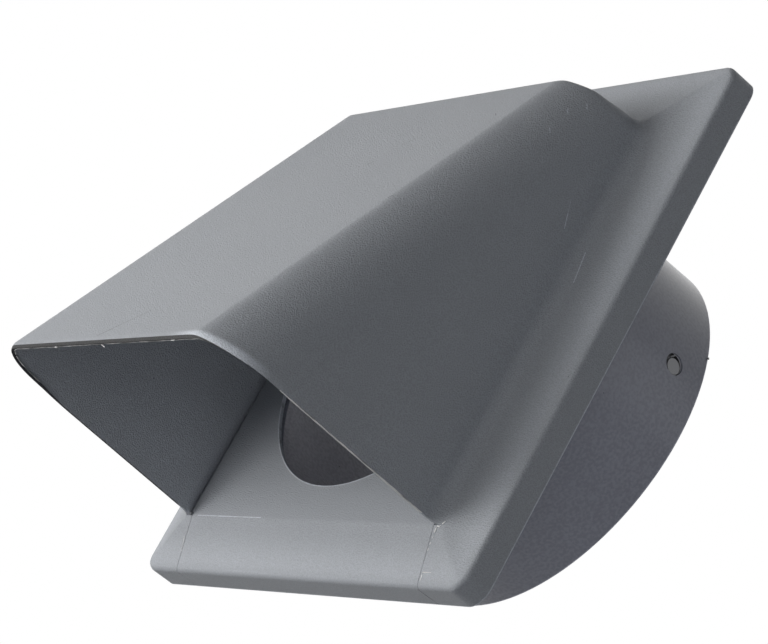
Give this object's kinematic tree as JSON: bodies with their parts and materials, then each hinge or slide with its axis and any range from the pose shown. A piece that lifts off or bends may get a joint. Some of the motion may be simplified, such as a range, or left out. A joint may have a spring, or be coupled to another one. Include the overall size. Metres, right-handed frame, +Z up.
{
  "type": "dryer vent cap",
  "caption": "Sheet-metal wall hood with a sloped front and an open underside on a bevelled square flange, with a round duct collar behind it and a hanging damper that closes by its own weight.",
  "frame": {"origin": "on the collar's axis, in the wall plane that the flange's rear edge rests on", "axes": "+Y along the duct into the wall, +Z up, +X to the right for someone who faces the wall"},
  "size_m": [0.144, 0.12, 0.144],
  "materials": {
    "powder_coat": "satin, fine texture",
    "collar_coat": "semi-gloss",
    "bare_steel": "galvanised"
  },
  "bodies": {
    "cap": {"hood_shell": "powder_coat", "back_plate": "powder_coat", "tailpipe": "collar_coat"},
    "damper": {"damper_blade": "bare_steel", "pivot_rod": "bare_steel"}
  },
  "joints": [
    {"name": "damper_swing", "type": "hinge", "parent": "cap", "child": "damper", "pos_m": [0, 0.0297, 0.01245], "axis": [-1, 0, 0], "range_deg": [0, 80]}
  ]
}
